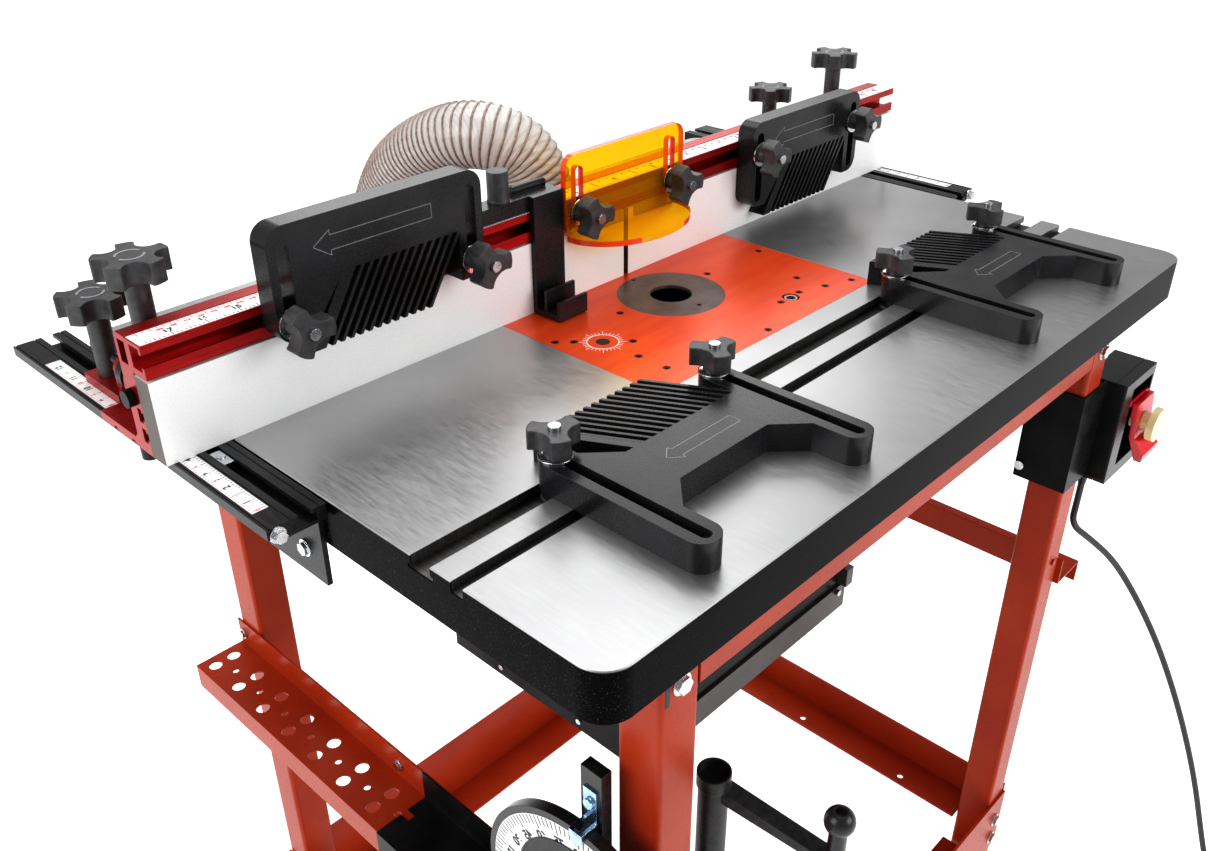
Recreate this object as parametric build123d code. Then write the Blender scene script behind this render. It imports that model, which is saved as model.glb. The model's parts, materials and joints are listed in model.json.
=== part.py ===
"""Router table on an open stand: cast top, split fence, featherboards, dust box, switch and lift.

Millimetres, +Z up, +X right along the fence, +Y towards the back.  Every shape is drawn about the
centre of the table top's upper face and moved by PLACE just before it is written.
"""
from build123d import *
import math
import os

os.makedirs("parts", exist_ok=True)

# ---- driving dimensions -------------------------------------------------------------------
TOP_HEIGHT = 890.0            # floor to the working surface
Y_SHIFT = -21.4                # brings the middle of the whole outline over the origin
PLACE = (0, Y_SHIFT, TOP_HEIGHT)

TOP_X, TOP_Y, TOP_T = 406.0, 305.0, 38.0       # half width, half depth, rim thickness
TOP_CORNER = 22.0
SLOT_Y, SLOT_W, SLOT_D = -150.5, 19.0, 10.0    # wide mitre slot
NARROW_Y, NARROW_W, NARROW_D = -184.7, 11.0, 8.0
PLATE_X, PLATE_Y, PLATE_T = 149.0, 117.5, 9.5  # router plate half sizes and thickness
RING_R, RING_T, RING_BORE = 49.0, 3.2, 19.0

LEG_X, LEG_FRONT, LEG_BACK, LEG_W, TUBE_T = 331.0, -280.0, 282.0, 37.5, 2.0
FLOOR = -TOP_HEIGHT
STRETCHER_TOP, STRETCHER_H = -683.0, 50.0
RACK_Z, RACK_OUT, RACK_LIP = -365.4, 385.0, -392.0

RAIL_IN, RAIL_OUT, RAIL_FRONT, RAIL_BACK, RAIL_H = 408.0, 452.0, -56.0, 328.0, 12.0
RAIL_MID = 424.0                               # centre of the rail's tee slot

FENCE_X = 457.0                                # half length of the fence
FACE_FRONT, FACE_BACK, FACE_H = 60.0, 79.0, 64.0
FENCE_TOP, BOLT_Z = 91.6, 79.6                 # upper edge and tee slot centre height
LOCK_Y, MICRO_Y = 122.0, 208.0
WHEEL_Z = 26.0
FOOT_T = 8.0                                   # fine adjuster's foot on the rail

GUARD_X, GUARD_SLOT = 76.5, 60.0
BOARD_HALF, BOARD_SLOT = 94.0, 82.0
LEFT_UPRIGHT, RIGHT_UPRIGHT = (-274.0, 64.0), (262.0, 25.0)   # centre x, lower edge z
FLAT_LEFT, FLAT_RIGHT = -209.0, 210.0
STOP_X0, STOP_X1 = -113.0, -79.0

BOX_X, BOX_FRONT, BOX_BACK, BOX_BOTTOM, SHEET = 165.0, -116.0, 146.0, -393.0, 2.0
HOSE_R, HOSE_IN = 32.0, 29.0
PORT_X, PORT_Z = -75.0, -258.0                 # rear dust port

HOSE_POINTS = [(3, 165, 16), (3, 165, 87), (-44, 203, 121), (-56, 285, 88), (-42, 362, 30),
               (-50, 384, -60), (-64, 372, -166), (-75, 300, -258), (-75, 176, -258)]
LEAD_R = 3.6
LEAD_POINTS = [(384, -268, -268), (384, -268, -292), (376, -270, -318), (404, -286, -345),
               (440, -306, -384), (470, -332, -440), (494, -362, -505), (513, -392, -577),
               (529, -420, -652), (541, -446, -728), (549, -468, -802), (553, -486, -856),
               (561, -526, -886), (569, -566, -886)]


# ---- small helpers ------------------------------------------------------------------------
def block(x0, x1, y0, y1, z0, z1):
    """Axis aligned box between the given planes."""
    x0, x1, y0, y1, z0, z1 = min(x0, x1), max(x0, x1), min(y0, y1), max(y0, y1), min(z0, z1), max(z0, z1)
    return Pos((x0 + x1) / 2, (y0 + y1) / 2, (z0 + z1) / 2) * Box(x1 - x0, y1 - y0, z1 - z0)


def zcyl(x, y, z0, z1, r):
    return Pos(x, y, (z0 + z1) / 2) * Cylinder(r, abs(z1 - z0))


def ycyl(x, z, y0, y1, r):
    return Pos(x, (y0 + y1) / 2, z) * Rot(90, 0, 0) * Cylinder(r, abs(y1 - y0))


def xcyl(y, z, x0, x1, r):
    return Pos((x0 + x1) / 2, y, z) * Rot(0, 90, 0) * Cylinder(r, abs(x1 - x0))


def prism(points, start, length, plane):
    """Closed polygon on a plane through the origin, moved along the normal and extruded."""
    outline = Polyline(*[tuple(p) for p in points], close=True)
    sketch = make_face(plane.offset(start) * outline)
    return extrude(sketch, amount=length, dir=plane.z_dir)


def prism_z(points, z0, z1):
    return prism(points, z0, z1 - z0, Plane.XY)


def prism_x(points, x0, x1):
    """Polygon given as (y, z) pairs."""
    return prism(points, x0, x1 - x0, Plane.YZ)


def prism_y(points, y0, y1):
    """Polygon given as (x, z) pairs."""
    return prism(points, -y1, y1 - y0, Plane.XZ)


def slab(x0, x1, y0, y1, z0, z1, r):
    """Plate with rounded vertical corners."""
    face = Plane.XY.offset(z0) * Pos((x0 + x1) / 2, (y0 + y1) / 2) * RectangleRounded(x1 - x0, y1 - y0, r)
    return extrude(face, amount=z1 - z0)


def upright_slab(x0, x1, z0, z1, y0, y1, r):
    """Plate with rounded corners standing in the XZ plane."""
    face = Plane.XZ.offset(-y1) * Pos((x0 + x1) / 2, (z0 + z1) / 2) * RectangleRounded(x1 - x0, z1 - z0, r)
    return extrude(face, amount=y1 - y0)


def mirrored(shape):
    return mirror(shape, about=Plane.YZ)


def group(shapes):
    """Several separate solids kept side by side in one file."""
    solids = []
    for shape in shapes:
        solids += list(shape.solids())
    return Compound(children=solids)


def total(shapes):
    """Union of a list of overlapping shapes."""
    result = shapes[0]
    for shape in shapes[1:]:
        result = result + shape
    return result


WRITTEN = []


def save(name, shape):
    placed = Pos(*PLACE) * shape
    solids = placed.solids()
    export_step(Compound(children=list(solids)), "parts/" + name + ".step")
    WRITTEN.append((name, placed.bounding_box(), placed.volume, len(solids)))


# ---- cast top, router plate ---------------------------------------------------------------
PLATE_HOLES = [(137, 5), (58, 5), (107, -62), (109, -92), (81, -83), (52, -84), (137, -102),
               (-2, -110), (-113, -93), (-113, -63), (-141, 5), (-130, -6), (-95.5, -41), (-62, 5)]
LIFT_XY = (67.0, -84.0)


def table_top():
    top = slab(-TOP_X, TOP_X, -TOP_Y, TOP_Y, -TOP_T, 0, TOP_CORNER)
    top = chamfer(top.faces().sort_by(Axis.Z)[-1].edges(), 0.8)
    pocket = block(-TOP_X + 13, TOP_X - 13, -TOP_Y + 13, TOP_Y - 13, -TOP_T - 1, -13.5)
    keep = [block(-178, 178, -131, 158, -60, 0)]
    for x in (-285, 285):
        keep.append(block(x - 5, x + 5, -TOP_Y, TOP_Y, -60, 0))
    for y in (-215, 225):
        keep.append(block(-TOP_X, TOP_X, y - 5, y + 5, -60, 0))
    for sx in (-1, 1):
        for y0, y1 in ((LEG_FRONT - 3, LEG_FRONT + LEG_W + 3), (LEG_BACK - LEG_W - 3, LEG_BACK + 3)):
            keep.append(block(sx * 288, sx * 335, y0, y1, -60, 0))
    for piece in keep:
        pocket = pocket - piece
    top = top - pocket
    top = top - slab(-PLATE_X - 0.3, PLATE_X + 0.3, -PLATE_Y - 0.3, PLATE_Y + 0.3, -PLATE_T, 1, 12.3)
    top = top - slab(-PLATE_X + 14, PLATE_X - 14, -PLATE_Y + 10, PLATE_Y - 10, -60, 1, 8)
    top = top - block(-500, 500, SLOT_Y - SLOT_W / 2, SLOT_Y + SLOT_W / 2, -SLOT_D, 1)
    top = top - block(-500, 500, SLOT_Y - 12, SLOT_Y + 12, -SLOT_D, -6.6)
    top = top - block(-500, 500, NARROW_Y - NARROW_W / 2, NARROW_Y + NARROW_W / 2, -NARROW_D, 1)
    return top


def router_plate():
    plate = slab(-PLATE_X, PLATE_X, -PLATE_Y, PLATE_Y, -PLATE_T, 0, 12)
    plate = plate - zcyl(0, 0, -RING_T, 1, RING_R + 0.1) - zcyl(0, 0, -20, 1, 42)
    for x, y in PLATE_HOLES:
        plate = plate - zcyl(x, y, -4, 1, 3.5)
    plate = plate - zcyl(*LIFT_XY, -20, 1, 8)
    plate = plate - zcyl(0, 45.7, -8, -1, 2.2)
    return plate


def insert_ring():
    ring = zcyl(0, 0, -RING_T, 0, RING_R) - zcyl(0, 0, -20, 1, RING_BORE)
    for x, y in ((0, 45.7), (-2, -34.6)):
        ring = ring - zcyl(x, y, -20, 1, 2.2)
    return ring


def plate_screws():
    screws = []
    for x, y in PLATE_HOLES:
        screws.append(zcyl(x, y, -4, -0.4, 3.4) - zcyl(x, y, -1.8, 1, 1.5))
    screws.append(zcyl(0, 45.7, -8, -0.3, 2.1) - zcyl(0, 45.7, -1.5, 1, 1.0))
    return group(screws)


# ---- stand --------------------------------------------------------------------------------
def leg_places():
    """Outer corner tube limits (x0, x1, y0, y1) of the four legs."""
    places = []
    for sx in (-1, 1):
        for y0 in (LEG_FRONT, LEG_BACK - LEG_W):
            places.append((min(sx * LEG_X, sx * (LEG_X - LEG_W)), y0))
    return places


def legs():
    parts = []
    for x0, y0 in leg_places():
        tube = slab(x0, x0 + LEG_W, y0, y0 + LEG_W, FLOOR + 12, -TOP_T, 4)
        bore = slab(x0 + TUBE_T, x0 + LEG_W - TUBE_T, y0 + TUBE_T, y0 + LEG_W - TUBE_T, FLOOR, 0, 2)
        parts.append(tube - bore)
    return group(parts)


def leg_feet():
    parts = []
    for x0, y0 in leg_places():
        foot = slab(x0, x0 + LEG_W, y0, y0 + LEG_W, FLOOR, FLOOR + 12, 4)
        plug = block(x0 + 2.5, x0 + LEG_W - 2.5, y0 + 2.5, y0 + LEG_W - 2.5, FLOOR + 11, FLOOR + 32)
        parts.append(foot + plug)
    return group(parts)


def apron_frame():
    """Four angle rails with their flange against the underside of the top."""
    inner = LEG_X - LEG_W
    low = -91.0
    front = block(-inner, inner, LEG_FRONT, LEG_FRONT + 3, low, -TOP_T)
    front = front + block(-inner, inner, LEG_FRONT, LEG_FRONT + 32, -TOP_T - 3, -TOP_T)
    back = block(-inner, inner, LEG_BACK - 3, LEG_BACK, low, -TOP_T)
    back = back + block(-inner, inner, LEG_BACK - 32, LEG_BACK, -TOP_T - 3, -TOP_T)
    y0, y1 = LEG_FRONT + LEG_W, LEG_BACK - LEG_W
    right = block(LEG_X - 3, LEG_X, y0, y1, low, -TOP_T)
    right = right + block(LEG_X - 32, LEG_X, y0, y1, -TOP_T - 3, -TOP_T)
    return group([front, back, right, mirrored(right)])


def stretchers():
    """Low angle rails bolted round the outside of the legs."""
    bottom = STRETCHER_TOP - STRETCHER_H
    y0, y1 = LEG_FRONT + LEG_W + 1, LEG_BACK - LEG_W - 1
    side = block(LEG_X, LEG_X + 3, LEG_FRONT, LEG_BACK, bottom, STRETCHER_TOP)
    side = side + block(LEG_X - 46, LEG_X + 3, y0, y1, bottom, bottom + 3)
    for y in (-160, -7, 150):
        side = side - zcyl(297, y, bottom - 1, bottom + 4, 4)
    low, high = -782.0, -692.0
    front = block(-LEG_X, LEG_X, LEG_FRONT - 3, LEG_FRONT, low, high)
    front = front + block(-290, 290, LEG_FRONT - 3, LEG_FRONT + 46, low, low + 3)
    back = block(-LEG_X, LEG_X, LEG_BACK, LEG_BACK + 3, low, high)
    back = back + block(-290, 290, LEG_BACK - 46, LEG_BACK + 3, low, low + 3)
    return group([side, mirrored(side), front, back])


def bit_racks():
    rack = block(LEG_X, RACK_OUT, -285, 285, RACK_Z - 2, RACK_Z)
    rack = rack + block(LEG_X, LEG_X + 2, -285, 285, RACK_Z - 2, -336)
    rack = rack + block(RACK_OUT - 2, RACK_OUT, -285, 285, RACK_LIP, RACK_Z)
    holes = []
    for k in range(13):
        y = 271.5 - 43.7 * k
        holes.append(zcyl(371.5, y, RACK_Z - 3, RACK_Z + 1, 6.5))
        holes.append(zcyl(351.2, y, RACK_Z - 3, RACK_Z + 1, 6.5))
        if k < 12:
            holes.append(zcyl(361.7, y - 22, RACK_Z - 3, RACK_Z + 1, 3.25))
    right = rack - holes
    left = mirrored(right) - block(-355, -342.5, -251.8, -229.2, RACK_Z - 5, RACK_Z + 5)
    return group([right, left])


def bolt_head(kind, x, y, z, direction, r=6.5, h=5.0):
    """Flanged hexagon head; direction is the outward axis, for example '+x'."""
    head = zcyl(0, 0, 0, 1.6, r * 1.28) + extrude(RegularPolygon(r, 6), amount=h)
    turns = {"+x": Rot(0, 90, 0), "-x": Rot(0, -90, 0), "+y": Rot(-90, 0, 0), "-y": Rot(90, 0, 0),
             "+z": Rot(0, 0, 0), "-z": Rot(180, 0, 0)}
    return Pos(x, y, z) * turns[direction] * head


def frame_bolts():
    bolts = []
    for sx in (-1, 1):
        out = "+x" if sx > 0 else "-x"
        for y, side in ((LEG_FRONT, "-y"), (LEG_BACK, "+y")):
            bolts.append(bolt_head("hex", sx * 313, y, -78, side))
            edge = y - 3 if side == "-y" else y + 3
            bolts.append(bolt_head("hex", sx * 313, edge, -728, side))
            bolts.append(bolt_head("hex", sx * 313, edge, -760, side))
        for y in (LEG_FRONT + 18, LEG_BACK - 18):
            bolts.append(bolt_head("hex", sx * (LEG_X + 3), y, -708, out))
        for y in (20, 277):
            bolts.append(bolt_head("hex", sx * (LEG_X + 2), y, -351, out, 4.5, 4))
        for y in (-25, 30, 215, 270):
            bolts.append(bolt_head("hex", sx * 410, y, -50, out, 5.2, 4.5))
        bolts.append(bolt_head("hex", sx * 445, RAIL_FRONT, -6, "-y", 4.6, 6))
    return group(bolts)


def fence_rails():
    """Slotted rails beside the table that carry the ends of the fence, with their brackets."""
    rail = block(RAIL_IN, RAIL_OUT, RAIL_FRONT, RAIL_BACK, -8, 0)
    rail = rail + block(RAIL_IN, RAIL_OUT - 6, RAIL_FRONT, RAIL_BACK, -RAIL_H, -7)
    rail = rail - block(RAIL_MID - 4.8, RAIL_MID + 4.8, -100, 400, -9.5, 1)
    rail = rail - block(RAIL_MID - 9, RAIL_MID + 9, -100, 400, -9.5, -3.2)
    rail = rail - block(434.0, 435.0, -100, 400, -0.8, 1)
    rail = rail - block(412.4, 413.4, -100, 400, -0.8, 1)
    rail = rail - block(449.5, 450.5, -100, 400, -0.8, 1)
    brackets = []
    for y0, y1 in ((-46, 60), (195, 290)):
        bracket = block(TOP_X, TOP_X + 4, y0, y1, -72.5, -RAIL_H)
        bracket = bracket + block(TOP_X, TOP_X + 38, y0, y1, -RAIL_H - 4, -RAIL_H)
        brackets.append(bracket)
    right = [rail] + brackets
    stop_screw = zcyl(-440, 125, -26, -RAIL_H, 7)
    return group(right + [mirrored(shape) for shape in right] + [stop_screw])


# ---- dust box -----------------------------------------------------------------------------
def dust_box():
    outer = block(-BOX_X, BOX_X, BOX_FRONT, BOX_BACK, BOX_BOTTOM, -TOP_T)
    inner = block(-BOX_X + SHEET, BOX_X - SHEET, BOX_FRONT + SHEET, BOX_BACK - SHEET,
                  BOX_BOTTOM + SHEET, 0)
    box = outer - inner
    box = box - ycyl(PORT_X, PORT_Z, BOX_BACK - 5, BOX_BACK + 5, HOSE_IN - 2)
    port = ycyl(PORT_X, PORT_Z, BOX_BACK, BOX_BACK + 30, HOSE_R - 0.5)
    port = port - ycyl(PORT_X, PORT_Z, BOX_BACK - 1, BOX_BACK + 31, HOSE_IN - 2)
    return box + port


def dust_box_front():
    panel = block(-BOX_X, BOX_X, BOX_FRONT - 3, BOX_FRONT, BOX_BOTTOM + 4, BOX_BOTTOM + 36)
    latch = block(BOX_X - 14, BOX_X - 2, BOX_FRONT - 12, BOX_FRONT, BOX_BOTTOM + 40, BOX_BOTTOM + 62)
    knob = ycyl(148, BOX_BOTTOM + 31, BOX_FRONT - 6, BOX_FRONT - 3, 3.2)
    return group([panel + knob, latch])


# ---- router lift --------------------------------------------------------------------------
LIFT_POSTS = ((-95.0, 0.0), (95.0, 0.0))
LIFT_LOW, LIFT_HIGH = -290.0, -PLATE_T


def lift_posts():
    parts = [block(-115, 115, -98, 20, LIFT_LOW - 10, LIFT_LOW)]
    for x, y in LIFT_POSTS:
        parts.append(zcyl(x, y, LIFT_LOW, LIFT_HIGH, 8))
    frame = total(parts)
    return frame - zcyl(*LIFT_XY, LIFT_LOW - 11, LIFT_LOW + 1, 4.05) - zcyl(0, 0, -310, -280, 40)


def lift_carriage():
    body = slab(-115, 115, -98, 60, -185, -150, 10)
    body = body - zcyl(0, 0, -200, -140, 45)
    for x, y in LIFT_POSTS:
        body = body - zcyl(x, y, -200, -140, 8.05)
    return body - zcyl(*LIFT_XY, -200, -140, 6.05)


def lift_screw():
    rod = zcyl(*LIFT_XY, LIFT_LOW, -0.6, 6) + zcyl(*LIFT_XY, LIFT_LOW - 10, LIFT_LOW, 4)
    socket = Pos(LIFT_XY[0], LIFT_XY[1], -12) * extrude(RegularPolygon(4.5, 6), amount=14)
    return rod - socket


# ---- switch -------------------------------------------------------------------------------
def switch_bracket():
    side = block(291.5, 293.5, -282, -227, -231, -121)
    front = block(291.5, 345, -282, -280, -231, -121)
    ear = block(343, 345, -300, -260, -231, -121)
    return side + front + ear


BOX_LOW = -236.0


def switch_box():
    box = block(345, 420, -302, -258, -236, -122)
    box = box - block(348, 417, -290, -261, -233, -125)
    box = box - block(366, 416, -303, -288, -222, -133)
    seam = block(344, 421, -290.4, -289.6, -237, -121) - block(345.6, 419.4, -291, -289, -235.4, -122.6)
    low = LEAD_POINTS[0][2]
    gland = Pos(384, -268, (BOX_LOW + low) / 2) * Cone(LEAD_R + 0.4, 7.0, BOX_LOW - low)
    return group([box - seam, gland])


PADDLE_Z0, PADDLE_Z1 = -212.0, -150.0
HINGE_Z = PADDLE_Z1 - 2.5
BUTTON_X, BUTTON_Z = 391.0, -175.0


def switch_paddle():
    """Hinged flap over the switch with a round stop button through its middle."""
    plate = prism_x([(-304.5, PADDLE_Z1), (-309, PADDLE_Z1), (-313, -188), (-325, PADDLE_Z0 + 8),
                     (-324, PADDLE_Z0), (-317, PADDLE_Z0), (-307, -188)], 370.5, 411.5)
    cheeks = block(370.5, 374, -308, -303.5, -166, PADDLE_Z1) + block(408, 411.5, -308, -303.5, -166, PADDLE_Z1)
    pin = xcyl(-300, HINGE_Z, 366.5, 415.5, 2.4)
    arm = block(374, 408, -306, -300, HINGE_Z - 2, HINGE_Z + 2)
    hole = ycyl(BUTTON_X, BUTTON_Z, -340, -290, 10.5)
    return (plate + cheeks + pin + arm) - hole


def switch_button():
    cap = ycyl(BUTTON_X, BUTTON_Z, -327, -319.5, 18)
    return cap + ycyl(BUTTON_X, BUTTON_Z, -319.5, -300, 10)


# ---- mitre gauge, its tray, crank handle ---------------------------------------------------
def mitre_tray():
    x_out, x_in = -386.5, -333.0
    tray = block(x_out, x_in, -290, -16, RACK_Z, RACK_Z + 1.5)
    tray = tray + block(x_in - 1.5, x_in, -290, -16, RACK_Z, -334)
    tray = tray + block(x_out, x_out + 1.5, -290, -16, -390, RACK_Z + 1.5)
    tray = tray - block(-361, -353, -26, 0, RACK_Z - 1, RACK_Z + 3)
    return tray - block(-355, -342.5, -251.8, -229.2, RACK_Z - 5, RACK_Z + 5)


MITRE_PIVOT = (-240.5, -295.0)


def mitre_bar():
    bar = block(-353.5, -344, -250, -231, -602, -152)
    collar = block(-357, -341, -254, -227, RACK_Z + 1.5, -353)
    pointer = block(-355, -353.5, -246, -235, -300, -196) + block(-368, -353.5, -243, -238, -198.6, -195)
    pivot = xcyl(*MITRE_PIVOT, -370, -353, 3)
    return bar + collar + pointer + pivot


def mitre_head():
    y, z = MITRE_PIVOT
    disc = xcyl(y, z, -366, -357, 96) - block(-380, -340, y - 110, y + 110, z - 120, z - 10)
    disc = disc - xcyl(y, z, -380, -340, 3.05)
    slot = xcyl(y, z, -380, -362, 60) - xcyl(y, z, -380, -362, 48)
    slot = slot - block(-400, -300, y - 80, y + 80, z - 80, z + 12)
    return disc - slot


def crank_holder():
    ring = zcyl(-262, -272, -334, -302, 15) - zcyl(-262, -272, -330, -300, 11.4)
    arm = block(-293.5, -273.5, -278, -262, -334, -302)
    plate = block(-293.5, -291.5, -278, -244, -334, -290)
    return ring + arm + plate - zcyl(-262, -272, -330, -300, 11.4)


CRANK_TIP = (-235.0, -359.0)


def crank_arm():
    """Hollow capped hub, a sloping cast arm and the pin that carries the grip."""
    hub = zcyl(-262, -272, -330, -212, 11) + zcyl(-262, -272, -212, -200, 12.5)
    hub = hub - zcyl(-262, -272, -206, -190, 10.5)
    reach = math.hypot(CRANK_TIP[0] + 262, CRANK_TIP[1] + 272)
    arm = prism_y([(0, -207), (0, -219), (reach, -249), (reach, -238), (reach - 9, -238)], -7, 7)
    heading = math.degrees(math.atan2(CRANK_TIP[1] + 272, CRANK_TIP[0] + 262))
    arm = Pos(-262, -272, 0) * Rot(0, 0, heading) * arm
    arm = arm - zcyl(-262, -272, -206, -190, 10.5)
    pin = zcyl(*CRANK_TIP, -251, -238, 8) + zcyl(*CRANK_TIP, -238, -206, 3)
    return hub + arm + pin


def crank_grip():
    grip = zcyl(*CRANK_TIP, -237.6, -206, 6.5)
    ball = Pos(CRANK_TIP[0], CRANK_TIP[1], -205) * Sphere(11)
    ball = ball - block(-300, -200, -400, -300, -230, -212) - block(-300, -200, -400, -300, -195.5, -180)
    return grip + ball - zcyl(*CRANK_TIP, -240, -205.9, 3.05) - zcyl(*CRANK_TIP, -200, -190, 4)


# ---- fence --------------------------------------------------------------------------------
def fence_beam():
    outline = [(60, 66), (60, 91), (81, 91), (81, FENCE_TOP), (94, FENCE_TOP), (97, 88), (97, 12),
               (101, 7.7), (156, 7.7), (156, 0), (79, 0), (79, 66)]
    beam = prism_x(outline, -FENCE_X, FENCE_X)
    cuts = [block(-600, 600, 59, 66, BOLT_Z - 4.9, BOLT_Z + 4.9),
            block(-600, 600, 63, 76, BOLT_Z - 8.5, BOLT_Z + 8.5),
            block(-600, 600, 83, 93, 70, 87)]
    for z in (15, 31):
        cuts.append(block(-600, 600, 78, 82, z - 3, z + 3))
        cuts.append(block(-600, 600, 81.5, 87, z - 5.5, z + 5.5))
    for y in (106, 133):
        cuts.append(block(-600, 600, y - 3, y + 3, -1, 3))
    cuts.append(block(-36, 36, 78, 150, -1, 9))
    cuts.append(block(-30, 30, 78, 98, -1, 58))
    for sx in (-1, 1):
        cuts.append(zcyl(sx * RAIL_MID, LOCK_Y, -1, 12, 4.4))
    plates = []
    for sx in (-1, 1):
        x = sx * RAIL_MID
        plate = block(x - 14, x + 14, 147, 150, 7.7, WHEEL_Z) + ycyl(x, WHEEL_Z, 147, 150, 14)
        plates.append(plate - ycyl(x, WHEEL_Z, 140, 156, 4.4))
    return group([beam - cuts] + plates)


def fence_shroud():
    """Dust hood over the fence opening with its upward port, and the small knobs on the fence's ends."""
    hood = block(-40, 40, 97, 131, 12.3, 66) + block(-36, 40, 97, 198, 12.3, 15)
    hood = hood - block(-33, 37, 90, 133, 2, 60) - block(-30, 36, 90, 133, 2, 13.5)
    hood = hood + zcyl(3, 165, 12.3, HOSE_POINTS[0][2], 31.5)
    hood = hood - zcyl(3, 165, 11, 60, 27)
    knob = xcyl(89, 44, -FENCE_X - 6, -FENCE_X, 6.5)
    return group([hood, knob, mirrored(knob)])


def hose_clamp():
    x, y, z = HOSE_POINTS[0]
    band = zcyl(x, y, z + 14, z + 24, 34) - zcyl(x, y, z, z + 40, 32.6)
    return band + block(x - 7, x + 7, y + 33.6, y + 41, z + 14, z + 24)


def fence_face(side):
    x0, x1 = (-FENCE_X, 2) if side < 0 else (8, FENCE_X)
    face = block(x0, x1, FACE_FRONT, FACE_BACK, 0, FACE_H)
    inner = face.edges().filter_by(Axis.Z).sort_by(Axis.X)
    return face


def star_knob(x, y, z0, z1, r, lobes, post_z, post_r, stud_z):
    """Hand knob with flared lobes between scallops, on a vertical post and stud; all turn together."""
    reach, scallop = (1.27 * r, 0.757 * r) if lobes == 3 else (0.96 * r, 0.346 * r)
    outline = Rot(0, 0, 180 / lobes) * Circle(r)
    for k in range(lobes):
        a = 2 * math.pi * (k + 0.5) / lobes
        outline = outline - Pos(reach * math.cos(a), reach * math.sin(a)) * Circle(scallop)
    outline = fillet(outline.vertices(), 1.6)
    knob = extrude(Pos(x, y, z0) * outline, amount=z1 - z0)
    if post_z < z0:
        knob = knob + zcyl(x, y, post_z, z0, post_r)
    if stud_z < post_z:
        knob = knob + zcyl(x, y, stud_z, post_z, 4)
    return knob


def lock_knob(side, y, top, base):
    """Tall knob: base is the surface it clamps; its foot nut runs in the rail's slot."""
    x = side * RAIL_MID
    knob = star_knob(x, y, top - 16, top, 26, 5, base, 8.75, -8.5)
    return knob + zcyl(x, y, -8.5, -4.5, 8.5)


def micro_block(side):
    """Foot on the rail with a round topped ear that carries the fine adjuster's thread."""
    x = side * RAIL_MID
    body = block(x - 14, x + 14, 166, 223, 0, FOOT_T)
    body = body + block(x - 10, x + 10, 166, 174, 0, WHEEL_Z) + ycyl(x, WHEEL_Z, 166, 174, 10)
    return body - ycyl(x, WHEEL_Z, 160, 196, 4.05) - zcyl(x, MICRO_Y, -1, 40, 4.4)


def micro_wheel(side):
    """Thumb wheel and its screw, carried by the fence's end plate."""
    x = side * RAIL_MID
    return ycyl(x, WHEEL_Z, 153, 162, 14.5) + ycyl(x, WHEEL_Z, 142, 191, 4)


def bit_guard():
    """Clear guard: slotted plate with a half round brow."""
    plate = upright_slab(-GUARD_X, GUARD_X, 57, 131, 54, 60, 12)
    for sx in (-1, 1):
        plate = plate - upright_slab(sx * GUARD_SLOT - 4.5, sx * GUARD_SLOT + 4.5, 66, 120, 50, 62, 4.4)
    brow = extrude(Plane.XY.offset(53.5) * Pos(0, 56) * Ellipse(70, 50), amount=5)
    brow = brow - block(-100, 100, 60, 130, 40, 70)
    return plate + brow


def facing_knob(x, y_front, clamp_y):
    """Three lobed knob on a bolt along Y, with washer, bolt end and its head in the fence slot."""
    knob = star_knob(0, 0, 0, 14, 18.5, 3, 0, 8, 0)
    knob = knob + zcyl(0, 0, -6, 0, 8) + zcyl(0, 0, 14, 16, 4)
    height = clamp_y - y_front - 16
    knob = knob + zcyl(0, 0, -height, 0, 8)
    knob = knob + zcyl(0, 0, -height, -height + 2, 11.5)
    placed = Pos(x, y_front + 16, BOLT_Z) * Rot(90, 0, 0) * knob
    bolt = ycyl(x, BOLT_Z, clamp_y, 66, 4) + ycyl(x, BOLT_Z, 63.4, 68, 7.4)
    return placed + bolt


ROOT_SPACING, FINGERS = 8.5, 13


def finger_cuts(x_left, x_right, root, tip, lean, open_end):
    """Slits between flexible fingers as leaning quadrilaterals in a (u, v) plane."""
    cuts = []
    pitch = (x_right - x_left) / FINGERS
    for k in range(FINGERS):
        a = x_left + pitch * k
        b = a + pitch - 3.2
        cuts.append([(a - lean, root), (b - lean, root), (b, open_end), (a, open_end)])
    return cuts


def upright_board(place):
    """Vertical featherboard; u runs along X, v is height above the lower edge."""
    cx, base = place
    shape = upright_slab(cx - BOARD_HALF, cx + BOARD_HALF, base, base + 86, 41, 60, 14)
    for sx in (-1, 1):
        x = cx + sx * BOARD_SLOT
        shape = shape - upright_slab(x - 5, x + 5, base + 5, base + 75, 30, 70, 4.9)
    window = [(cx - 69, base - 20), (cx - 24, base + 41), (cx + 72, base + 41), (cx + 47, base - 20)]
    window = [(cx - 70, base - 1), (cx - 36, base + 41), (cx + 70, base + 41), (cx + 70, base - 1)]
    shape = shape - prism_y(window, 30, 70)
    fingers = []
    lean = -35.0
    pitch = 8.1
    for k in range(FINGERS + 1):
        tip = cx - 70 + pitch * k
        wide = 9 if k == 0 else 3.2
        fingers.append(prism_y([(tip, base - 12), (tip + wide, base - 12),
                                (tip + wide - lean, base + 44), (tip - lean, base + 44)], 41, 60))
    limit = block(cx - 75, cx + 75.5, 40, 61, base - 12, base + 44)
    return total([shape] + [finger & limit for finger in fingers])


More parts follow.
